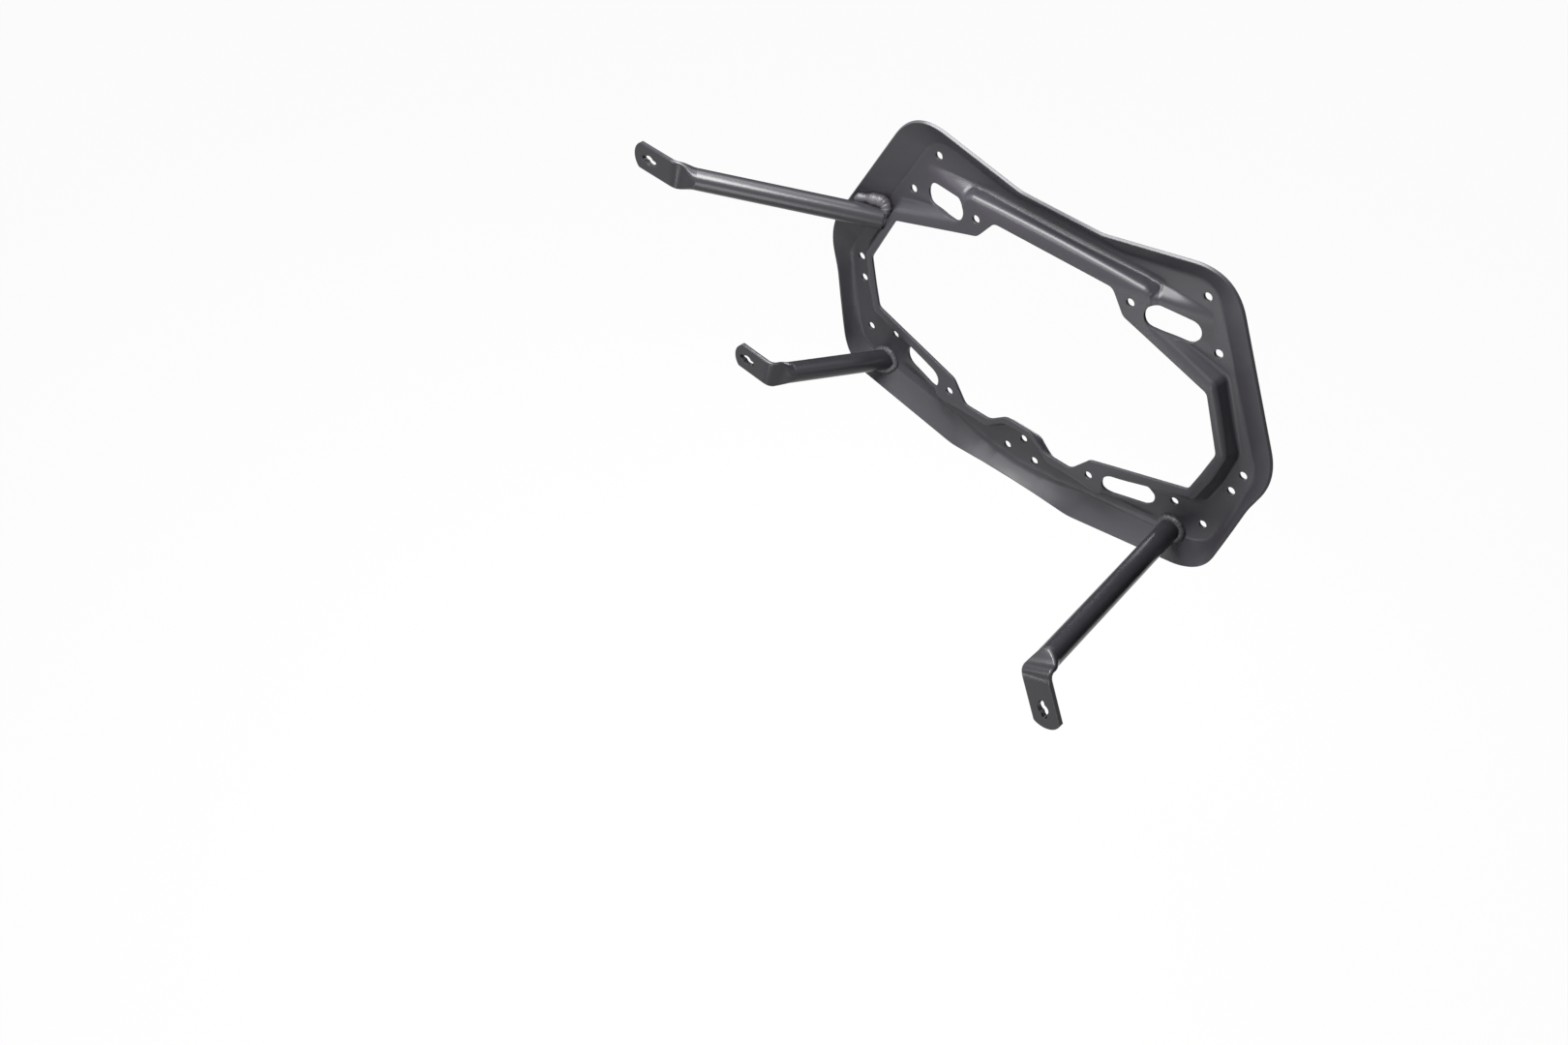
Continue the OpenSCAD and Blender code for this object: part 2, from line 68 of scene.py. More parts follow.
# %% [markdown]
# ## The camera
# The photograph shows the frame from above and from its inboard side. A camera could be placed by eye,
# but its place was worked out from the bolt holes and the outline, so the script sets that place, turn
# and lens directly. The lens is given for a sensor 36 mm wide.

# %% Camera
CAMERA_PLACE = (0.5193, -0.9124, 0.8079)
CAMERA_TURN = (45.0395, -2.7324, 43.0878)   # degrees
CAMERA_LENS = 37.83    # millimetres
SENSOR_WIDTH = 36      # millimetres
NEAREST_SEEN = 0.01

camera = new_object("camera", bpy.data.cameras.new("camera"))
camera.location = CAMERA_PLACE
camera.rotation_euler = [math.radians(angle) for angle in CAMERA_TURN]
camera.data.sensor_width = SENSOR_WIDTH
camera.data.lens = CAMERA_LENS
camera.data.clip_start = NEAREST_SEEN
bpy.context.scene.camera = camera
bpy.context.scene.view_settings.view_transform = "Standard"
looks_along = camera.rotation_euler.to_matrix() @ Vector((0, 0, -1))
print("camera looks along", tuple(round(c, 3) for c in looks_along))

# %% [markdown]
# ## Helpers for node trees
# A material is a tree of nodes, and most of the work is making a node, setting its sockets and joining
# it to the next. Three small helpers keep that readable: one makes a node, one does a sum, and one starts
# a group. A value given as a socket is linked, and any other value is written on the node itself.


# %% Node helpers
def add_node(tree, kind, sockets=(), **properties):
    """Makes a node, sets its properties and fills or links its input sockets."""
    node = tree.nodes.new(kind)
    for name, value in properties.items():
        setattr(node, name, value)
    for name, value in dict(sockets).items():
        if isinstance(value, bpy.types.NodeSocket):
            tree.links.new(value, node.inputs[name])
        else:
            node.inputs[name].default_value = value
    return node


def math_node(tree, operation, first, second):
    """One sum on two values or sockets; gives back its result."""
    return add_node(tree, "ShaderNodeMath", {0: first, 1: second}, operation=operation).outputs[0]


def new_group(name, inputs, outputs):
    """An empty shader node group with named float or colour sockets."""
    group = bpy.data.node_groups.new(name, "ShaderNodeTree")
    for label, kind, value in inputs:
        group.interface.new_socket(label, in_out="INPUT", socket_type=kind).default_value = value
    for label, kind in outputs:
        group.interface.new_socket(label, in_out="OUTPUT", socket_type=kind)
    return group, group.nodes.new("NodeGroupInput").outputs, group.nodes.new("NodeGroupOutput")


print("helpers for node trees:", add_node.__name__, math_node.__name__, new_group.__name__)

# %% [markdown]
# ## The white background
# The photograph has a pure white background. More light would only burn out the object, so the white is
# given to the rays that come straight from the camera or from a reflection, with the Light Path node,
# while the world itself adds next to no light. The lamps do that work.

# %% World
WORLD_LIGHT = 0.05     # what the world adds to the light on the object
DAYLIGHT = (0.97, 0.98, 1.0, 1)
WHITE = (1, 1, 1, 1)

world = bpy.data.worlds.new("studio")
bpy.context.scene.world = world
world.use_nodes = True
world.node_tree.nodes.clear()


def seen_rays(tree):
    """1 for a ray from the camera, a reflection or a transmission, 0 for the rays that light a surface."""
    path = add_node(tree, "ShaderNodeLightPath")
    seen = math_node(tree, "MAXIMUM", path.outputs["Is Camera Ray"], path.outputs["Is Glossy Ray"])
    return math_node(tree, "MAXIMUM", seen, path.outputs["Is Transmission Ray"])


room = add_node(world.node_tree, "ShaderNodeBackground",
                {"Color": DAYLIGHT, "Strength": WORLD_LIGHT})
paper = add_node(world.node_tree, "ShaderNodeBackground", {"Color": WHITE, "Strength": 1.0})
world_mix = add_node(world.node_tree, "ShaderNodeMixShader", {0: seen_rays(world.node_tree)})
world.node_tree.links.new(room.outputs[0], world_mix.inputs[1])
world.node_tree.links.new(paper.outputs[0], world_mix.inputs[2])
add_node(world.node_tree, "ShaderNodeOutputWorld", {"Surface": world_mix.outputs[0]})
print("world made from", len(world.node_tree.nodes), "nodes")

# %% [markdown]
# ## The floor
# The frame is held up in the picture, so the floor lies well below it and keeps only a soft shadow. Its
# material mixes matt pale grey, which takes the shadow, with plain white, again by the Light Path node.

# %% Floor
FLOOR_LEVEL = -0.75
FLOOR_HALF = 6.0
FLOOR_GREY = (0.86, 0.86, 0.86, 1)
FLOOR_WHITE = 0.96     # share of plain white in what the camera sees of the floor

floor_mesh = bpy.data.meshes.new("floor")
floor_mesh.from_pydata([(x * FLOOR_HALF, y * FLOOR_HALF, FLOOR_LEVEL)
                        for x, y in ((-1, -1), (1, -1), (1, 1), (-1, 1))], [], [(0, 1, 2, 3)])
floor = new_object("floor", floor_mesh)

floor_coat = bpy.data.materials.new("pale floor")
floor_coat.use_nodes = True
tree = floor_coat.node_tree
tree.nodes.clear()
matt = add_node(tree, "ShaderNodeBsdfDiffuse", {"Color": FLOOR_GREY})
white = add_node(tree, "ShaderNodeEmission", {"Color": WHITE, "Strength": 1.0})
floor_mix = add_node(tree, "ShaderNodeMixShader",
                     {0: math_node(tree, "MULTIPLY", seen_rays(tree), FLOOR_WHITE)})
tree.links.new(matt.outputs[0], floor_mix.inputs[1])
tree.links.new(white.outputs[0], floor_mix.inputs[2])
add_node(tree, "ShaderNodeOutputMaterial", {"Surface": floor_mix.outputs[0]})
floor_mesh.materials.append(floor_coat)

# %% [markdown]
# ## The lamps
# Satin paint shows its form by wide, soft highlights, and those are pictures of big lamps. Two lamps close
# overhead draw the long highlights on the upper stay, the rims and the bends of the sheet, and leave the
# lower parts darker. One on the left fills the inboard side, a tall one low in front draws the wide light
# band on the upper stay, one behind lights the outboard side, and a small one below lights the face
# beside the upper rear slot.

# %% Lamps
LAMPS = {
    # name: place, the point it looks at, width and height, watts
    "overhead lamp": ((-0.26, -0.18, 0.60), (-0.18, -0.05, 0), (0.68, 0.20), 16),
    "far overhead lamp": ((-0.12, 0.20, 0.62), (-0.10, -0.02, 0), (0.95, 0.20), 3),
    "left lamp": ((-0.5, -0.80, 0.50), (-0.05, -0.05, 0), (0.4, 0.4), 5),
    "front lamp": ((0.27, -0.88, -0.18), (-0.25, -0.1, 0.06), (0.25, 0.55), 3.2),
    "back lamp": ((-0.25, 0.85, -0.1), (-0.05, 0, 0), (0.6, 0.4), 5),
    "low lamp": ((-0.13, -0.60, -0.34), (0.12, 0, 0.10), (0.15, 0.10), 0.6),
}


def soft_lamp(name, place, aim, size, power):
    """A rectangular lamp that looks at a point."""
    lamp = new_object(name, bpy.data.lights.new(name, "AREA"))
    lamp.data.shape = "RECTANGLE"
    lamp.data.size, lamp.data.size_y = size
    lamp.data.energy = power
    lamp.location = place
    lamp.rotation_euler = (Vector(aim) - Vector(place)).to_track_quat("-Z", "Y").to_euler()
    lamp.visible_camera = False
    print("lamp", name, "at", place, "with", power, "W")


for name, (place, aim, size, power) in LAMPS.items():
    soft_lamp(name, place, aim, size, power)

# %% [markdown]
# ## A black card
# On a white set every curved surface mirrors white and goes pale. Darker paint wouldn't help, because the
# white lies on top of it as a reflection. A photographer stands a black card where the dark sides of the
# object should mirror it. This one stands behind the frame and darkens the two lower stays. Only
# reflections see it: the camera doesn't, and it throws no shadow on the floor.

# %% Black card
CARD_X = (-1.3, 1.5)
CARD_Y = 0.9
CARD_Z = (-0.7, 0.9)
CARD_BLACK = (0.01, 0.01, 0.01, 1)

card_mesh = bpy.data.meshes.new("black_card")
card_mesh.from_pydata([(CARD_X[0], CARD_Y, CARD_Z[0]), (CARD_X[1], CARD_Y, CARD_Z[0]),
                       (CARD_X[1], CARD_Y, CARD_Z[1]), (CARD_X[0], CARD_Y, CARD_Z[1])], [], [(0, 1, 2, 3)])
card = new_object("black_card", card_mesh)
card.visible_camera = False
card.visible_shadow = False
card.visible_diffuse = False
card_paint = bpy.data.materials.new("black card")
card_paint.use_nodes = True
card_shader = card_paint.node_tree.nodes["Principled BSDF"]
card_shader.inputs["Base Color"].default_value = CARD_BLACK
card_shader.inputs["Specular IOR Level"].default_value = 0
card_mesh.materials.append(card_paint)
print("card stands", CARD_Y, "m behind the face of the plate")

# %% [markdown]
# ## Powder coat, the effect that all the parts share
# Powder paint is sprayed on as dust and melted. It sets with a fine dimpled skin, called orange peel,
# and a slight mottle in its colour and its gloss. An image could be painted for it, but noise textures
# follow the surface at any size and need no unwrapping. The three parts differ only in how much of each
# they show, so the effect is a node group with named inputs.

# %% Node group: powder coat
MOTTLE_SPREAD = 0.22   # scale of the mottle as a share of the grain's scale, so it is coarser
CLOUD_SCALE = 14.0     # slow clouds across the part, per metre
MOTTLE_SHARE = 0.6
CLOUD_SHARE = 0.4
NOISE_MIDDLE = 0.5     # the value that noise textures swing about
TONE_SWING = 4.0       # how much more the colour changes than the roughness

coat_group, given, result = new_group(
    "powder coat",
    [("Colour", "NodeSocketColor", (0.05, 0.05, 0.05, 1)), ("Mottle", "NodeSocketFloat", 0.25),
     ("Grain Size", "NodeSocketFloat", 0.0009), ("Grain Depth", "NodeSocketFloat", 0.000006),
     ("Roughness", "NodeSocketFloat", 0.45)],
    [("Colour", "NodeSocketColor"), ("Roughness", "NodeSocketFloat"), ("Height", "NodeSocketFloat")])
where = add_node(coat_group, "ShaderNodeTexCoord").outputs["Object"]
per_metre = math_node(coat_group, "DIVIDE", 1.0, given["Grain Size"])
peel = add_node(coat_group, "ShaderNodeTexNoise",
                {"Vector": where, "Scale": per_metre, "Detail": 2.0}).outputs[0]
mottle = add_node(coat_group, "ShaderNodeTexNoise",
                  {"Vector": where, "Scale": math_node(coat_group, "MULTIPLY", per_metre, MOTTLE_SPREAD),
                   "Detail": 4.0, "Roughness": 0.65}).outputs[0]
cloud = add_node(coat_group, "ShaderNodeTexNoise",
                 {"Vector": where, "Scale": CLOUD_SCALE, "Detail": 3.0}).outputs[0]
both = math_node(coat_group, "ADD", math_node(coat_group, "MULTIPLY", mottle, MOTTLE_SHARE),
                 math_node(coat_group, "MULTIPLY", cloud, CLOUD_SHARE))
swing = math_node(coat_group, "MULTIPLY", math_node(coat_group, "SUBTRACT", both, NOISE_MIDDLE),
                  given["Mottle"])
tone = math_node(coat_group, "ADD", 1.0, math_node(coat_group, "MULTIPLY", swing, TONE_SWING))
tinted = add_node(coat_group, "ShaderNodeVectorMath", {0: given["Colour"]}, operation="SCALE")
coat_group.links.new(tone, tinted.inputs["Scale"])
coat_group.links.new(tinted.outputs[0], result.inputs["Colour"])
coat_group.links.new(math_node(coat_group, "ADD", given["Roughness"], swing), result.inputs["Roughness"])
coat_group.links.new(math_node(coat_group, "MULTIPLY", peel, given["Grain Depth"]), result.inputs["Height"])
print("powder coat group:", len(coat_group.nodes), "nodes")

# %% [markdown]
# ## Edges with a painted highlight
# The rim of the sheet, the holes and the flattened ends are painted a little lighter than the flats, and
# that lighter colour is a painted highlight along every edge. The edges could be painted by hand, but a mask
# made from the shape finds them all by itself. The Bevel node gives the normal that a slightly rounded edge
# would have. Where it differs from the true normal there is an edge, and that difference makes the mask.

# %% Node group: edges with a painted highlight
EDGE_START = 0.985     # cosine between the two normals where the mask starts
EDGE_FULL = 0.80       # and where it is full
BEVEL_RAYS = 6

edge_group, given, result = new_group(
    "painted highlight edges",
    [("Width", "NodeSocketFloat", 0.0008), ("Strength", "NodeSocketFloat", 1.0)],
    [("Mask", "NodeSocketFloat"), ("Normal", "NodeSocketVector")])
rounded = add_node(edge_group, "ShaderNodeBevel", {"Radius": given["Width"]}, samples=BEVEL_RAYS)
straight = add_node(edge_group, "ShaderNodeNewGeometry").outputs["Normal"]
match = add_node(edge_group, "ShaderNodeVectorMath", {0: rounded.outputs[0], 1: straight},
                 operation="DOT_PRODUCT")
mask = add_node(edge_group, "ShaderNodeMapRange",
                {"Value": match.outputs["Value"], "From Min": EDGE_START, "From Max": EDGE_FULL,
                 "To Min": 0.0, "To Max": 1.0})
edge_group.links.new(math_node(edge_group, "MULTIPLY", mask.outputs[0], given["Strength"]),
                     result.inputs["Mask"])
edge_group.links.new(rounded.outputs[0], result.inputs["Normal"])
print("painted highlight edges group:", len(edge_group.nodes), "nodes")

# %% [markdown]
# ## The waves of pressed steel
# A sheet that was pressed over a die is never as flat as its drawing. Long, shallow waves bend the
# highlights a little. A displaced mesh would show them too, but the waves are a few hundredths of a
# millimetre deep, far less than an outline can show, so they go into the bump.

# %% Node group: pressed waves
wave_group, given, result = new_group(
    "pressed waves",
    [("Length", "NodeSocketFloat", 0.045), ("Depth", "NodeSocketFloat", 0.00006)],
    [("Height", "NodeSocketFloat")])
where = add_node(wave_group, "ShaderNodeTexCoord").outputs["Object"]
swell = add_node(wave_group, "ShaderNodeTexNoise",
                 {"Vector": where, "Scale": math_node(wave_group, "DIVIDE", 1.0, given["Length"]),
                  "Detail": 1.0, "Roughness": 0.4}).outputs[0]
wave_group.links.new(math_node(wave_group, "MULTIPLY", swell, given["Depth"]), result.inputs["Height"])
print("pressed waves group:", len(wave_group.nodes), "nodes")

# %% [markdown]
# ## Three coats from the same powder
# The plate, the stays and the welds are painted in one go, yet they look different: the plate is wavy, the
# drawn tubes are smoother and take sharper highlights, and the paint lies thick and uneven on the welds. The
# stays' colour is darker than the plate's, which is painted shade, and the welds' colour is lighter, which
# is painted light. One function builds the material from the shared groups, and each part gets its own
# values.
# The edge mask lightens the colour of the edges, which is a painted highlight, and it also makes the thin
# coat duller, or the rims would flash white under the overhead lamp.

# %% Painted steel
EDGE_DULL = 0.6        # what a full edge mask adds to the roughness
MIX_FIRST = 6          # numbers of the Mix node's colour sockets
MIX_SECOND = 7
MIX_RESULT = 2


def painted_steel(name, colour, edge_highlight_colour, roughness, mottle, grain, wave, edge, specular):
    """A material of powder-coated steel; grain and wave are (size, depth), edge is (width, strength) of the
    edge mask, and the edge colour is a painted highlight that the mask lays on the edges.
    """
    material = bpy.data.materials.new(name)
    material.use_nodes = True
    tree = material.node_tree
    paint = tree.nodes["Principled BSDF"]
    coat = add_node(tree, "ShaderNodeGroup", node_tree=coat_group)
    rim = add_node(tree, "ShaderNodeGroup", node_tree=edge_group)
    waves = add_node(tree, "ShaderNodeGroup", node_tree=wave_group)
    for node, values in ((coat, {"Colour": (*colour, 1), "Mottle": mottle, "Grain Size": grain[0],
                                 "Grain Depth": grain[1], "Roughness": roughness}),
                         (rim, {"Width": edge[0], "Strength": edge[1]}),
                         (waves, {"Length": wave[0], "Depth": wave[1]})):
        for socket, value in values.items():
            node.inputs[socket].default_value = value
    # The edge mask mixes a lighter colour into the paint: a painted highlight on the edges.
    shade = add_node(tree, "ShaderNodeMix", data_type="RGBA")
    tree.links.new(rim.outputs["Mask"], shade.inputs[0])
    tree.links.new(coat.outputs["Colour"], shade.inputs[MIX_FIRST])
    shade.inputs[MIX_SECOND].default_value = (*edge_highlight_colour, 1)
    tree.links.new(shade.outputs[MIX_RESULT], paint.inputs["Base Color"])
    dull = math_node(tree, "MULTIPLY", rim.outputs["Mask"], EDGE_DULL)
    tree.links.new(math_node(tree, "ADD", coat.outputs["Roughness"], dull), paint.inputs["Roughness"])
    height = math_node(tree, "ADD", coat.outputs["Height"], waves.outputs["Height"])
    bump = add_node(tree, "ShaderNodeBump", {"Strength": 1.0, "Distance": 1.0, "Height": height,
                                             "Normal": rim.outputs["Normal"]})
    tree.links.new(bump.outputs[0], paint.inputs["Normal"])
    paint.inputs["Specular IOR Level"].default_value = specular
    print("material", name, "made from", len(tree.nodes), "nodes")
    return material


plate_paint = painted_steel(
    "charcoal coat on the plate", colour=(0.0255, 0.024, 0.029), edge_highlight_colour=(0.075, 0.071, 0.084),
    roughness=0.39, mottle=0.07, grain=(0.0009, 0.000007), wave=(0.045, 0.00007), edge=(0.0009, 0.3),
    specular=0.33)
# The stays' colour is darker than the plate's: painted shade on all three stays.
stay_paint = painted_steel(
    "charcoal coat on the stays, darkened as painted shade", colour=(0.018, 0.017, 0.0205), edge_highlight_colour=(0.07, 0.066, 0.076),
    roughness=0.28, mottle=0.05, grain=(0.0008, 0.000006), wave=(0.03, 0.00002), edge=(0.0007, 0.35),
    specular=0.34)
# The welds' colour is lighter than the plate's: painted light on the lumpy beads.
weld_paint = painted_steel(
    "charcoal coat on the welds, lightened as painted light", colour=(0.040, 0.038, 0.043), edge_highlight_colour=(0.08, 0.077, 0.083),
    roughness=0.42, mottle=0.12, grain=(0.0012, 0.00002), wave=(0.004, 0.00012), edge=(0.0006, 0.4),
    specular=0.38)

# %% [markdown]
# ## The pressed sheet, drawn in plan
# The plate is one sheet pressed into a shallow tray: a face, a flange all round it, a wall that drops to
# the lip of the opening, and four ramps that carry the strap slots. The CAD solid is right in
# size, but its bends are made of a few facets. A subdivision surface over a cage would be soft too, but
# it would round off the corners of the outline. A loft keeps both: six closed curves are drawn in plan,
# one for each line of the pressing, with the same rows in each, so that the same row number is the same
# place on all six. Each row is x, z and the reach of the round at that corner, in millimetres, and only
# the right half is drawn, because the left one is its mirror image.

# %% Plan curves
MM = 0.001
RAMP_TOP_X = 131.5     # the ramps start to fall at this distance from the middle
OUTER_EDGE = [(0, 127.8, 0), (37, 127.8, 4), (143.5, 150.3, 33), (180.3, 78.3, 6), (191.2, 57, 6),
              (217.3, 5.9, 24), (203.5, -32, 6), (197, -62, 6), (184.3, -117.6, 26), (150, -123.8, 5),
              (62, -139.8, 6), (36, -139, 4), (18, -138.4, 4), (0, -138, 0)]
FLANGE_BEND = [(0, 112.7, 0), (51, 112.3, 5), (126.5, 125.5, 15), (151.5, 79.5, 6), (162.5, 57.4, 6),
               (195.5, -6, 9), (192, -35, 6), (186, -62, 6), (177, -96, 16), (145.5, -102.6, 6),
               (75, -114.8, 5), (36, -120, 4), (18, -122, 4), (0, -123.5, 0)]
FACE_EDGE = [(0, 109.5, 0), (64, 110.5, 5), (RAMP_TOP_X, 104.5, 9), (RAMP_TOP_X, 77, 6), (158.6, 62.6, 3),
             (186.5, 0, 5), (181.5, -30, 5), (172, -61, 4), (RAMP_TOP_X, -77, 6), (RAMP_TOP_X, -101.5, 9),
             (75, -111.6, 5), (36, -111.5, 4), (20, -100, 4), (0, -99, 0)]
WALL_TOP = [(0, 106.2, 0), (73, 106.4, 3), (91, 105.6, 9), (95, 79.6, 4.5), (155, 60.2, 3.5),
            (182.7, 0, 4), (177, -30, 4), (168, -57, 4), (96, -79.6, 4.5), (91, -104.8, 9),
            (73, -105.8, 3), (29.4, -105.3, 4), (13.7, -91.6, 4), (0, -91.4, 0)]
WALL_FOOT = [(0, 99.8, 0), (76, 99.6, 2), (83, 98.4, 4), (87.4, 73.8, 4), (149, 53.4, 3),
             (173, 0, 4), (167.5, -26, 4), (159, -50.5, 3), (88, -73.8, 4), (83, -97.8, 4),
             (75, -98.9, 2), (31.8, -98.2, 4), (16.4, -84.8, 4), (0, -84.2, 0)]
OPENING = [(0, 91, 0), (55, 91, 4), (68.5, 72.3, 3), (90, 65.5, 5), (148, 46.8, 3),
           (168.5, 0, 3), (161.5, -25, 4), (155.3, -44.5, 3), (90, -65.3, 5), (69.5, -72, 3),
           (54.5, -91, 4), (28.6, -91, 4), (13.4, -79, 4), (0, -79, 0)]
FLANGE_RADIUS = (9, 9, 10, 9, 9, 9, 8, 8, 10, 9, 11, 12, 13, 13)   # radius of the flange's bend
CORNER_STEPS = (0, 5, 20, 10, 9, 16, 6, 9, 18, 20, 6, 9, 9, 0)     # steps round each row's corner
RUN_STEPS = (8, 12, 10, 6, 10, 6, 6, 8, 12, 10, 6, 4, 3, 0)        # steps from each row to the next
print(len(OPENING), "rows in each curve")

# %% [markdown]
# ## Stations along the curves
# Every curve is cut at the same stations: steps round each corner, and steps along each straight run.
# A corner is a quadratic curve from one end of its round to the other, with the drawn corner as its
# middle point. An arc would need a centre and two angles for each corner. This takes a few lines for all
# of them, and it meets the straight runs without a kink.

# %% Stations
ROWS = len(OPENING)


def stations(curve):
    """Points of one plan curve at every station of the right half, top middle to bottom middle."""
    points = [np.array(row[:2], float) for row in curve]

    def round_end(k, other):
        step = points[other] - points[k]
        return points[k] + curve[k][2] * step / np.linalg.norm(step)

    line = [points[0]]
    for k in range(1, ROWS):
        start = points[0] if k == 1 else round_end(k - 1, k)
        end = points[k] if k == ROWS - 1 else round_end(k, k - 1)
        steps = RUN_STEPS[k - 1]
        line += [start + (end - start) * j / steps for j in range(1, steps)]
        if k < ROWS - 1:
            leave = round_end(k, k + 1)
            for j in range(CORNER_STEPS[k] + 1):
                f = j / CORNER_STEPS[k]
                line.append((1 - f) ** 2 * end + 2 * f * (1 - f) * points[k] + f * f * leave)
    line.append(points[-1])
    return np.array(line)


def along_rows(value_at_corner, value_in_run):
    """A number at every station, from one function of row and step for corners and one for runs."""
    line = [value_in_run(0, 0)]
    for k in range(1, ROWS):
        line += [value_in_run(k - 1, j / RUN_STEPS[k - 1]) for j in range(1, RUN_STEPS[k - 1])]
        if k < ROWS - 1:
            line += [value_at_corner(k, j / CORNER_STEPS[k]) for j in range(CORNER_STEPS[k] + 1)]
    line.append(value_in_run(ROWS - 2, 1))
    return np.array(line)


def whole_ring(half, mirrored=True):
    """The right half, then the same backwards to the start, as a mirror image if it holds places."""
    back = half[-2:0:-1].copy()
    if mirrored:
        back[:, 0] *= -1
    return np.concatenate([half, back])


half_count = len(stations(OPENING))
print(half_count, "stations on the right half")

# %% [markdown]
# ## Ramps, and the slope of a bend
# Each ramp is a part of the face that falls away towards the middle of the plate and carries a strap
# slot. A station has to know how far it belongs to a ramp: 0 on the face, 1 on the ramp, and eased between
# the two round the ramp's end corner, where a straight change would crease the side wall. The slopes of
# the flange and of the wall aren't drawn. They follow from the depth, the width in plan and the radius.

# %% Ramps and bends
PRESS_DEPTH = 13.0         # from the face to the outer edge and to the lip
RAMP_SLOPE = 0.25          # fall of a ramp for each millimetre towards the middle
RAMP_WALL_PART = 0.625     # share of a ramp's end corner that its side wall takes up
RAMPS = ((2, 4), (7, 9))   # the rows that the ramps lie between


def ease(f):
    """A change from 0 to 1 that starts and ends softly."""
    return f * f * (3 - 2 * f)


def ramp_at_corner(k, f):
    """0 on the face, 1 on a ramp, and eased round the ramp's end corners."""
    if k == RAMPS[0][0]:
        return ease(max(0, 1 - (1 - f) / RAMP_WALL_PART))
    if k == RAMPS[1][1]:
        return ease(max(0, 1 - f / RAMP_WALL_PART))
    return float(RAMPS[0][0] < k <= RAMPS[0][1] or RAMPS[1][0] <= k < RAMPS[1][1])


def ramp_in_run(k, f):
    """1 along a ramp's straight runs, and 0 along the others."""
    return float(RAMPS[0][0] <= k < RAMPS[0][1] or RAMPS[1][0] <= k < RAMPS[1][1])


def flange_radius(k, f):
    """Radius of the flange's bend between two rows."""
    return FLANGE_RADIUS[k] + (FLANGE_RADIUS[min(k + 1, ROWS - 1)] - FLANGE_RADIUS[k]) * f


def bend_angle(height, width, radius, ends):
    """Slope of a strip that falls by height over width, with an arc at one or both ends."""
    rest = max(0, width ** 2 + height * (height - 2 * ends * radius))
    return 2 * math.atan(height / (width + math.sqrt(rest)))


print("ramps between rows", RAMPS, "of a sheet pressed", PRESS_DEPTH, "mm deep")

# %% [markdown]
# ## A section across the sheet
# At each station a section is drawn from the outer edge in to the opening: up the flange, round its bend,
# over the face, down the wall and along the lip. A Bevel modifier could round a plain section, but it would
# take as much from every bend. Here each bend is an arc with its own radius, cut down to a share of what
# would fit where the flange or the wall is short. On a ramp the top of the wall starts lower.

# %% Section
WALL_RADIUS = 3.4
FLANGE_BEND_LIMIT = 0.75   # share of the radius at which the flange would be nothing but bend
WALL_BEND_LIMIT = 0.85     # the same for the wall
BEND_STEPS = 6
FACE_STEPS = 4
FLAT_STEPS = 5
WALL_STEPS = 3


def section(outer, bend, face, top, foot, lip, part, radius):
    """Points (x, z, depth) of the sheet's middle, through the six places of one station.

    Part is how far the station belongs to a ramp, and radius is that of the flange's bend.
    """
    def fall(point):
        return part * RAMP_SLOPE * max(0, RAMP_TOP_X - abs(point[0]))

    def steps(a, b, count):
        return [a + (b - a) * j / count for j in range(1, count)]

    width = np.linalg.norm(outer - bend)
    out = (outer - bend) / width
    radius = min(radius, FLANGE_BEND_LIMIT * (width ** 2 + PRESS_DEPTH ** 2) / (2 * PRESS_DEPTH))
    angle = bend_angle(PRESS_DEPTH, width, radius, 1)
    arc = [np.append(bend + out * radius * math.sin(angle * k / BEND_STEPS),
                     radius * (1 - math.cos(angle * k / BEND_STEPS))) for k in range(BEND_STEPS, -1, -1)]
    edge = np.append(outer, PRESS_DEPTH)
    face_end = np.append(face, fall(face))
    height = PRESS_DEPTH - fall(top)
    width = np.linalg.norm(foot - top)
    inward = (foot - top) / width
    widest = WALL_BEND_LIMIT * (width ** 2 + height ** 2) / (4 * height)
    bend_r = min(WALL_RADIUS * PRESS_DEPTH / height, widest)
    angle = bend_angle(height, width, bend_r, 2)
    sines = [(bend_r * math.sin(angle * k / BEND_STEPS), bend_r * (1 - math.cos(angle * k / BEND_STEPS)))
             for k in range(BEND_STEPS + 1)]
    wall = [np.append(top + inward * run, fall(top) + deep) for run, deep in sines]
    wall_end = [np.append(foot - inward * run, PRESS_DEPTH - deep) for run, deep in reversed(sines)]
    lip_end = np.append(lip, PRESS_DEPTH)
    flange_part = [edge, *steps(edge, arc[0], FLAT_STEPS), *arc]
    face_part = [*steps(arc[-1], face_end, FACE_STEPS), face_end, *steps(face_end, wall[0], FACE_STEPS)]
    wall_part = [*wall, *steps(wall[-1], wall_end[0], WALL_STEPS), *wall_end]
    lip_part = [*steps(wall_end[-1], lip_end, FACE_STEPS), lip_end]
    return np.array(flange_part + face_part + wall_part + lip_part)


print("a bend is drawn in", BEND_STEPS, "steps")

# %% [markdown]
# ## All the sections together
# The six curves are mirrored, closed into rings and cut at the same stations. Bridging loose sections would
# leave it to Blender which points belong together. Here one section for each station makes a grid, and
# neighbours in the grid are neighbours on the sheet.

# %% Grid of the sheet's middle
rings = [whole_ring(stations(curve))
         for curve in (OUTER_EDGE, FLANGE_BEND, FACE_EDGE, WALL_TOP, WALL_FOOT, OPENING)]
parts = whole_ring(along_rows(ramp_at_corner, ramp_in_run), mirrored=False)
radii = whole_ring(along_rows(lambda k, f: FLANGE_RADIUS[k], flange_radius), mirrored=False)
grid = np.array([section(*places, part, radius) for *places, part, radius in zip(*rings, parts, radii)])
print("grid of the sheet's middle:", grid.shape[0], "stations by", grid.shape[1], "rows")

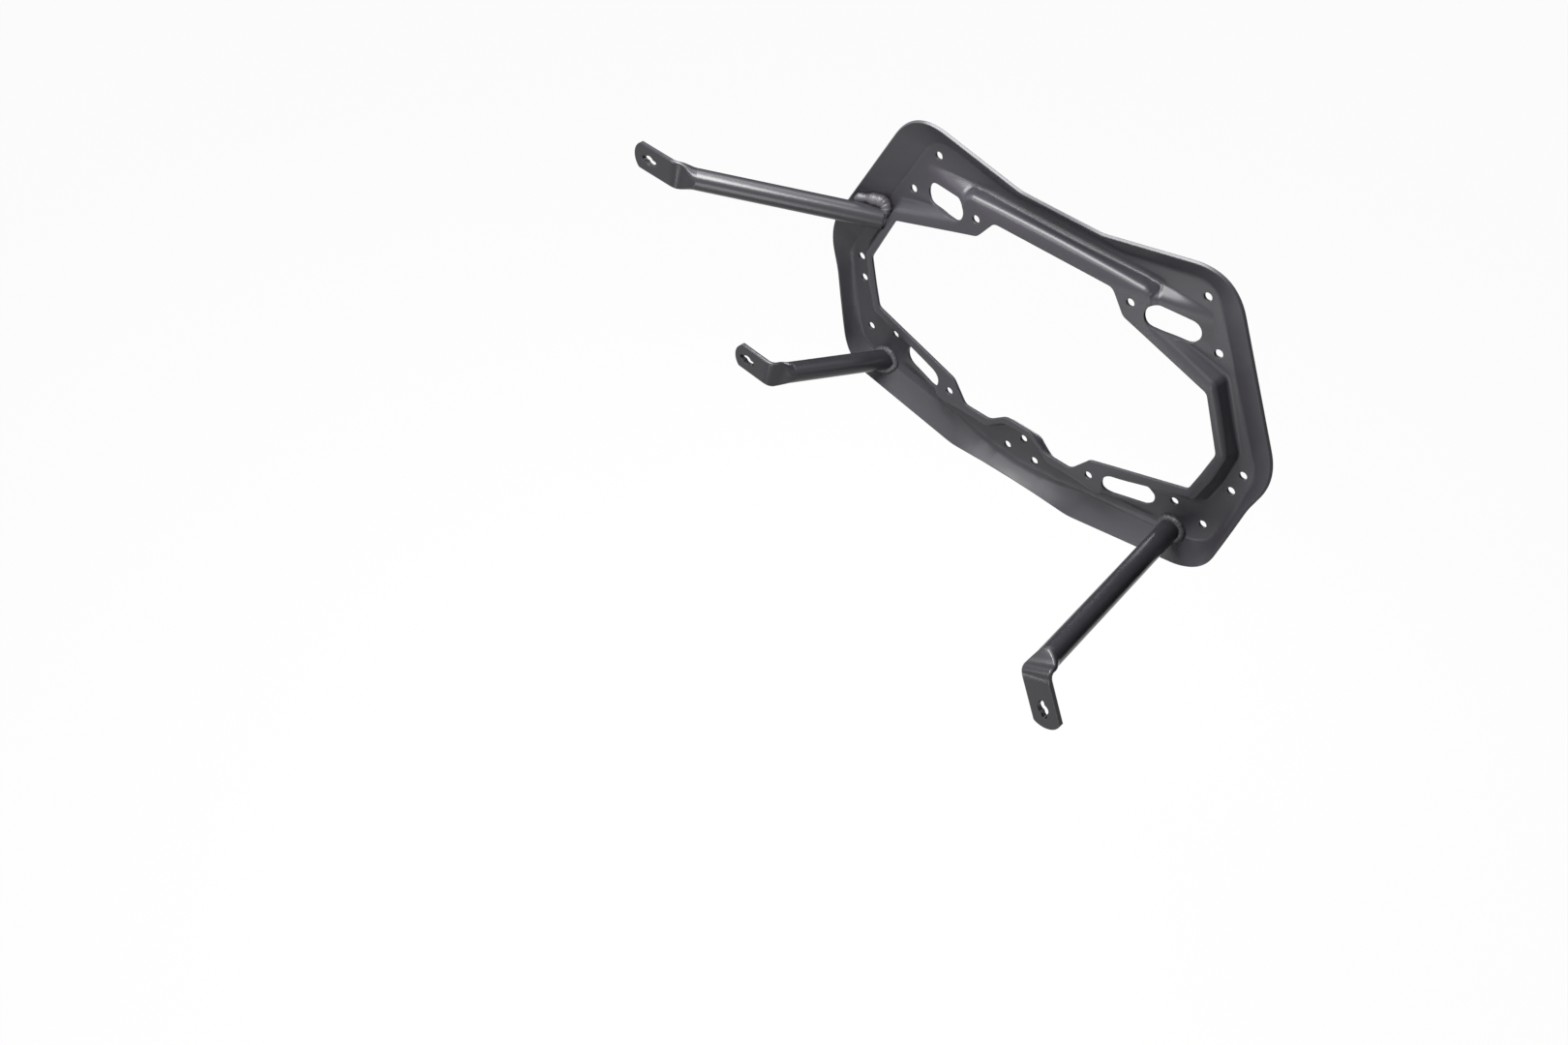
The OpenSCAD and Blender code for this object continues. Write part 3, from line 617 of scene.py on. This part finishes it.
# %% [markdown]
# ## Softening the pressing
# Steel doesn't follow a die into a sharp inner corner. Where a ramp's side wall meets the face, the sheet
# flows in a wide curve. Smoothing the finished mesh would shrink it and spoil the outline. Here only the
# depth of each grid point is evened out with its neighbours', the near ones counting more, and the outer
# edge and the opening's edge are held, so nothing moves in plan.

# %% Even out the depth
SOFTEN_PASSES = 26
SOFTEN_SHARE = 0.5         # how far a point's depth moves towards its neighbours' in one pass
NEAREST_GAP = 0.5          # mm added to each distance, so that very close points don't outweigh the rest
HELD_ROWS = (0, 1, -2, -1)


def soften(points):
    """Evens out the depths (third column) of a ring-shaped grid, its first and last rows held."""
    flat = points[:, :, :2]
    depth = points[:, :, 2].copy()
    held = depth.copy()
    to_next = 1 / (NEAREST_GAP + np.linalg.norm(np.roll(flat, -1, 0) - flat, axis=2))
    to_last = np.roll(to_next, 1, 0)
    across = 1 / (NEAREST_GAP + np.linalg.norm(flat[:, 1:] - flat[:, :-1], axis=2))
    inner = np.pad(across, ((0, 0), (0, 1)))
    outer = np.pad(across, ((0, 0), (1, 0)))
    for _ in range(SOFTEN_PASSES):
        beside = to_next * np.roll(depth, -1, 0) + to_last * np.roll(depth, 1, 0)
        beside += inner * np.roll(depth, -1, 1) + outer * np.roll(depth, 1, 1)
        beside /= to_next + to_last + inner + outer
        depth = (1 - SOFTEN_SHARE) * depth + SOFTEN_SHARE * beside
        for row in HELD_ROWS:
            depth[:, row] = held[:, row]
    return depth


before = grid[:, :, 2].copy()
grid[:, :, 2] = soften(grid)
print("depth changed by at most", round(float(np.abs(grid[:, :, 2] - before).max()), 2), "mm")

# %% [markdown]
# ## From the grid to a sheet
# A pressed sheet is about as thick on its steep walls as on its face. Pushing a copy of the surface
# outboard would leave the walls thin. Solidify with even thickness measures across the surface instead,
# and here it puts half of the steel on each side of the grid.

# %% Sheet mesh
SHEET_THICKNESS = 2.5 * MM

count, rows = grid.shape[:2]
corners = [(x * MM, -depth * MM, z * MM) for x, z, depth in grid.reshape(-1, 3)]
faces = [(i * rows + j, (i + 1) % count * rows + j, (i + 1) % count * rows + j + 1, i * rows + j + 1)
         for i in range(count) for j in range(rows - 1)]
sheet_mesh = bpy.data.meshes.new("pressed_sheet")
sheet_mesh.from_pydata(corners, [], faces)
sheet = new_object("pressed_sheet", sheet_mesh)
thicken = sheet.modifiers.new("thickness", "SOLIDIFY")
thicken.thickness = SHEET_THICKNESS
thicken.offset = 0
thicken.use_even_offset = True
print("surface of", len(faces), "faces")

# %% [markdown]
# ## Bolt holes and strap slots
# The press punches 19 round holes for bolts and, on each ramp, a long slot for a strap. A Boolean for
# each of them would be slow. Cutters that don't touch each other can share one mesh, so one Boolean cuts
# them all, and its result is kept as a plain mesh.

# %% Bolt holes and strap slots
HOLE_RADIUS = 3.5
HOLE_CORNERS = 40
HALF_HOLES = [(123, 113.3), (143, 73.7), (143, -73.7), (71.8, 86.4), (71.8, -86.4), (188.7, -16.1),
              (183.5, -35.3), (170.4, -80.1), (14.1, -117.3)]
MIDDLE_HOLE = (0, -101.8)
SLOT_LENGTH, SLOT_WIDTH = 43, 19.5
SLOT_X, SLOT_Z = 105.7, 83
SLOT_LEAN = 6          # degrees
CUTTER_DEPTH = 30      # to each side of the face


def hole_outline(x, z):
    """A circle round a place on the plate."""
    return [(x + HOLE_RADIUS * math.cos(math.tau * k / HOLE_CORNERS),
             z + HOLE_RADIUS * math.sin(math.tau * k / HOLE_CORNERS)) for k in range(HOLE_CORNERS)]


def slot_outline(side, level):
    """Two half circles joined by straight sides, the outer end turned towards the plate's middle height."""
    lean = -math.radians(side * level * SLOT_LEAN)
    outline = []
    for end, first in ((1, -90), (-1, 90)):
        for k in range(HOLE_CORNERS // 2 + 1):
            angle = math.radians(first + 180 * k / (HOLE_CORNERS // 2))
            x = end * (SLOT_LENGTH - SLOT_WIDTH) / 2 + SLOT_WIDTH / 2 * math.cos(angle)
            z = SLOT_WIDTH / 2 * math.sin(angle)
            outline.append((side * SLOT_X + x * math.cos(lean) - z * math.sin(lean),
                            level * SLOT_Z + x * math.sin(lean) + z * math.cos(lean)))
    return outline


outlines = [hole_outline(side * x, z) for x, z in HALF_HOLES for side in (-1, 1)]
outlines.append(hole_outline(*MIDDLE_HOLE))
outlines += [slot_outline(side, level) for side in (-1, 1) for level in (-1, 1)]
corners = []
faces = []
for outline in outlines:
    n = len(outline)
    first = len(corners)
    corners += [(x * MM, y * MM, z * MM) for y in (-CUTTER_DEPTH, CUTTER_DEPTH) for x, z in outline]
    faces += [(first + k, first + n + k, first + n + (k + 1) % n, first + (k + 1) % n) for k in range(n)]
    faces += [tuple(first + k for k in range(n)), tuple(first + n + k for k in range(n))[::-1]]
cutter_mesh = bpy.data.meshes.new("cutters")
cutter_mesh.from_pydata(corners, [], faces)
cutters = new_object("cutters", cutter_mesh)
punch = sheet.modifiers.new("holes", "BOOLEAN")
punch.operation = "DIFFERENCE"
punch.solver = "EXACT"
punch.object = cutters
bpy.context.view_layer.update()
finished = bpy.data.meshes.new_from_object(sheet.evaluated_get(bpy.context.evaluated_depsgraph_get()))
sheet.modifiers.clear()
sheet.data = finished
bpy.data.objects.remove(cutters)
print("punched", len(outlines), "holes and slots; the sheet has", len(finished.polygons), "faces")

# %% [markdown]
# ## Shading the sheet
# On the real sheet the bends catch the light in smooth bands, and only the rims are crisp. With all faces
# smooth, the rims would look swollen, and with all flat, the bends would show their facets. So all faces
# are smooth, edges sharper than any bend are split, and Weighted Normal keeps the flats flat beside the
# holes.

# %% Shade the sheet
SHARP_FROM = 50            # degrees between two faces from which their edge stays sharp
JOIN_WITHIN = 0.000005     # corners of CAD facets that are closer than this are one


def smooth_faces(part, weld_first=False):
    """Smooth faces, sharp edges by angle and normals weighted by area, all by modifiers."""
    for face in part.data.polygons:
        face.use_smooth = True
    if weld_first:
        part.modifiers.new("join corners", "WELD").merge_threshold = JOIN_WITHIN
    part.modifiers.new("keep sharp edges", "EDGE_SPLIT").split_angle = math.radians(SHARP_FROM)
    part.modifiers.new("even out normals", "WEIGHTED_NORMAL").keep_sharp = True


smooth_faces(sheet)
sheet.data.materials.clear()
sheet.data.materials.append(plate_paint)
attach(sheet, "root")
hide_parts("pressed_plate")
print("shaded", sheet.name, "with", len(sheet.data.polygons), "faces")

# %% [markdown]
# ## Smooth shading on the stays
# A drawn tube has no facets, and its highlight runs along it in one line. The stays keep their CAD solids,
# which arrive as flat facets with their corners apart and with normals of their own. Those normals are
# taken off, and the corners are joined with Weld before the rest. A new mesh could be smoother, but this
# keeps the CAD shape: modifiers do the work, and joining moves no point by more than 0.005 mm.

# %% Shade the stays
for name in ("upper_tube", "front_lower_tube", "rear_lower_tube"):
    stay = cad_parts[name]
    stay.data.materials.clear()
    stay.data.materials.append(stay_paint)
    if "custom_normal" in stay.data.attributes:
        stay.data.attributes.remove(stay.data.attributes["custom_normal"])
    smooth_faces(stay, weld_first=True)
    print("shaded", name, "with", len(stay.data.polygons), "facets")

# %% [markdown]
# ## Paint on the parts that are replaced
# The CAD plate and the CAD welds don't show, because finer pieces stand for them. They still get their
# coats, so that the CAD model has no bare part if it is shown by itself.

# %% Paint the hidden parts
HIDDEN_PARTS = {"pressed_plate": plate_paint, "upper_weld": weld_paint,
                "front_lower_weld": weld_paint, "rear_lower_weld": weld_paint}
for name, paint in HIDDEN_PARTS.items():
    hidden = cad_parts[name]
    hidden.data.materials.clear()
    hidden.data.materials.append(paint)
print("painted", len(HIDDEN_PARTS), "hidden parts")

# %% [markdown]
# ## Weld beads
# The welder goes round each stay in short steps, and each step leaves a crescent of metal half over the
# last. The CAD model has a coarse bead in the right place. A finer one takes its place here: rings of
# points along the joint, whose radius swells with every crescent and wanders with slow noise. Rays that
# are shot at the finished sheet tell where it lies, whatever its shape. They find the joint of the lower
# stays, and they keep every bead from coming out on the outboard side.

# %% Where the sheet lies
SUNK_INTO_SHEET = 0.0012   # the bead reaches this far into the sheet, and no deeper
RAY_START_Y = -0.08        # rays across the frame start this far inboard of the face
OUTBOARD = Vector((0, 1, 0))

bpy.context.view_layer.update()
plate_rays = BVHTree.FromObject(sheet, bpy.context.evaluated_depsgraph_get())


def kept_inboard(corner):
    """Moves a point that would come out on the outboard side back into the thickness of the sheet."""
    hit = plate_rays.ray_cast(Vector((corner.x, RAY_START_Y, corner.z)), OUTBOARD)[0]
    if hit is not None and corner.y > hit.y + SUNK_INTO_SHEET:
        return Vector((corner.x, hit.y + SUNK_INTO_SHEET, corner.z))
    return corner


print("rays can find the sheet, and beads reach", SUNK_INTO_SHEET, "m into it")

# %% [markdown]
# ## How a bead swells
# Each crescent of a real bead has a steep front and a long back, and no two are alike. A plain wave would
# look turned on a lathe. So one noise shifts the crescents along the bead, and a slower one lets the whole
# bead grow and shrink. Both are read at a seed of the bead's own, so the three beads differ and yet come
# out the same at each run.

# %% Radius of a bead
CRESCENT = 0.0024          # from one crescent of weld metal to the next
CRESCENT_SWELL = 0.10      # how much a crescent stands out, as a share of the bead's radius
CRESCENT_FRONT = 0.25      # share of a crescent that its steep front takes up
CRESCENT_RISE = 3          # slope of that front
SHIFT = 0.35               # how far a crescent may shift, as a share of its length
SHIFT_PER_METRE = 300
WANDER = 0.28              # how much the bead grows and shrinks slowly, as a share of its radius
WANDER_PER_METRE = 130
WANDER_LAYER = 7.0         # keeps the slow noise apart from the shifting one


def bead_radius(radius, along, seed):
    """The bead's radius at a distance along it."""
    phase = (along / CRESCENT + SHIFT * noise.noise((seed, along * SHIFT_PER_METRE, 0))) % 1
    crescent = (1 - phase) if phase > CRESCENT_FRONT else phase * CRESCENT_RISE
    slow = noise.noise((along * WANDER_PER_METRE, seed, WANDER_LAYER))
    return radius * (1 + CRESCENT_SWELL * crescent + WANDER * slow)


first_crescent = [round(bead_radius(1, CRESCENT * i / 4, 0), 2) for i in range(4)]
print("radius along a bead's first crescent, as a share of the drawn one:", first_crescent)

# %% [markdown]
# ## The mesh of a bead
# The mesh is a row of rings, joined face by face. A curve with a bevel would be less work, but its round
# section would be the same everywhere. Here every corner of a ring gets its own reach from a noise read at
# its place, and a bead that is open at its ends is closed with a cap on each.

# %% Mesh of a bead
RING_CORNERS = 16
SKIN_LUMPS = 0.10          # height of the lumps on the bead's skin, as a share of its radius
SKIN_PER_METRE = 420


def neighbours(places, i, closed):
    """The places before and after one, which on an open line stop at its ends."""
    if closed:
        return places[i - 1], places[(i + 1) % len(places)]
    return places[max(i - 1, 0)], places[min(i + 1, len(places) - 1)]


def bead_mesh(name, places, radii, sides, closed, seed):
    """A lumpy bead of metal along a list of places; sides is the outward direction at each place."""
    count = len(places)
    corners = []
    faces = []
    along = 0.0
    for i, (place, radius, side) in enumerate(zip(places, radii, sides)):
        before, after = neighbours(places, i, closed)
        run = (after - before).normalized()
        out = (side - side.dot(run) * run).normalized()
        over = run.cross(out)
        along += 0 if i == 0 else (place - places[i - 1]).length
        r = bead_radius(radius, along, seed)
        for k in range(RING_CORNERS):
            angle = math.tau * k / RING_CORNERS
            spot = (place.x + math.cos(angle) * r, place.y + seed, place.z + math.sin(angle) * r)
            reach = r * (1 + SKIN_LUMPS * noise.noise([c * SKIN_PER_METRE for c in spot]))
            corners.append(kept_inboard(place + reach * (math.cos(angle) * out + math.sin(angle) * over)))
    for i in range(count if closed else count - 1):
        for k in range(RING_CORNERS):
            a = i * RING_CORNERS
            b = (i + 1) % count * RING_CORNERS
            n = (k + 1) % RING_CORNERS
            faces.append((a + k, a + n, b + n, b + k))
    if not closed:
        faces.append(tuple(range(RING_CORNERS))[::-1])
        faces.append(tuple((count - 1) * RING_CORNERS + k for k in range(RING_CORNERS)))
    mesh = bpy.data.meshes.new(name)
    mesh.from_pydata(corners, [], faces)
    mesh.validate()
    for face in mesh.polygons:
        face.use_smooth = True
    mesh.materials.append(weld_paint)
    bead = new_object(name, mesh)
    print(name, "is", round(along * 1000, 1), "mm long, with", len(faces), "faces")
    return bead


print("a bead has", RING_CORNERS, "corners in each ring")

# %% [markdown]
# ## The welds round the feet of the two lower stays
# Each of these stays runs into the bend between the face and the flange, so its joint is a bent ellipse,
# hard to draw by hand. Rays down the stay's sides find it. The bead is a little thicker on one side, as it
# comes out where the welder can reach better.

# %% Lower welds
TUBE_RADIUS = 0.009
FOOT_RINGS = 180
RAY_START = 0.05           # the rays start this far up the stay
FOOT_BEAD_RADIUS = 0.0036
FOOT_BEAD_SWING = 0.18     # how much thicker the bead is on its easy side
BEAD_LEAN = 0.6            # how much the bead's outward side leans up the stay
LOWER_STAYS = {
    # name: foot, knee, seed of the bead
    "front_lower": (Vector((-0.1487, 0, -0.1049)), Vector((-0.1864, -0.1125, -0.0814)), 1.0),
    "rear_lower": (Vector((0.1461, 0, -0.1013)), Vector((0.1739, -0.2258, -0.0659)), 4.0),
}


def foot_bead(name, foot, knee, seed):
    """The bead all round a lower stay where it meets the plate."""
    axis = (knee - foot).normalized()
    first = axis.cross(Vector((0, 0, 1))).normalized()
    second = axis.cross(first)
    places = []
    sides = []
    for i in range(FOOT_RINGS):
        angle = math.tau * i / FOOT_RINGS
        side = math.cos(angle) * first + math.sin(angle) * second
        start = foot + RAY_START * axis + TUBE_RADIUS * side
        hit = plate_rays.ray_cast(start, -axis)[0]
        if hit is not None:
            places.append(hit)
            sides.append((side + BEAD_LEAN * axis).normalized())
    radii = [FOOT_BEAD_RADIUS * (1 + FOOT_BEAD_SWING * math.sin(math.tau * i / len(places) + seed))
             for i in range(len(places))]
    bead = bead_mesh(name + "_bead", places, radii, sides, True, seed)
    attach(bead, "root")
    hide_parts(name + "_weld")


for name, (foot, knee, seed) in LOWER_STAYS.items():
    foot_bead(name, foot, knee, seed)

# %% [markdown]
# ## The weld of the upper stay
# This stay lies against the plate's edge, so its weld is a run, not a ring: from the plate's outer edge
# along the top of the stay, and then down over the cut end. Rays can't follow such a path. Its line is
# drawn through a few places with a radius at each, and smoothed between them.

# %% Upper weld
UPPER_RUN = [((-0.1925, -0.0142, 0.0464), 0.0040), ((-0.1800, -0.0100, 0.0500), 0.0050),
             ((-0.1695, -0.0064, 0.0504), 0.0054), ((-0.1646, -0.0066, 0.0470), 0.0047),
             ((-0.1636, -0.0080, 0.0410), 0.0034), ((-0.1639, -0.0086, 0.0350), 0.0032),
             ((-0.1648, -0.0086, 0.0300), 0.0024)]
STEPS_BETWEEN = 22
ROUND_OVER = 8             # rings over which each end of the run closes
ROUND_START = 0.35         # where the first ring lies in that round-over, in rings
UPPER_SEED = 9.0


def smooth_run(rows, steps):
    """Places and radii along a smooth line through the rows."""
    points = [Vector((*place, radius)) for place, radius in rows]
    points = [2 * points[0] - points[1], *points, 2 * points[-1] - points[-2]]
    line = []
    for a, b, c, d in zip(points, points[1:], points[2:], points[3:]):
        for step in range(steps):
            t = step / steps
            line.append(0.5 * ((2 * b) + (c - a) * t + (2 * a - 5 * b + 4 * c - d) * t * t
                               + (3 * b - a - 3 * c + d) * t ** 3))
    line.append(points[-2])
    return [point.to_3d() for point in line], [point[3] for point in line]


run_places, run_radii = smooth_run(UPPER_RUN, STEPS_BETWEEN)
for i in range(ROUND_OVER):
    close = math.sin(math.pi / 2 * (i + ROUND_START) / ROUND_OVER)
    run_radii[i] *= close
    run_radii[-1 - i] *= close
upper_bead = bead_mesh("upper_bead", run_places, run_radii, [-OUTBOARD] * len(run_places), False, UPPER_SEED)
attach(upper_bead, "root")
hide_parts("upper_weld")

# %% [markdown]
# ## The end
# The view layer is brought up to date.

# %% Bring the scene up to date
bpy.context.view_layer.update()
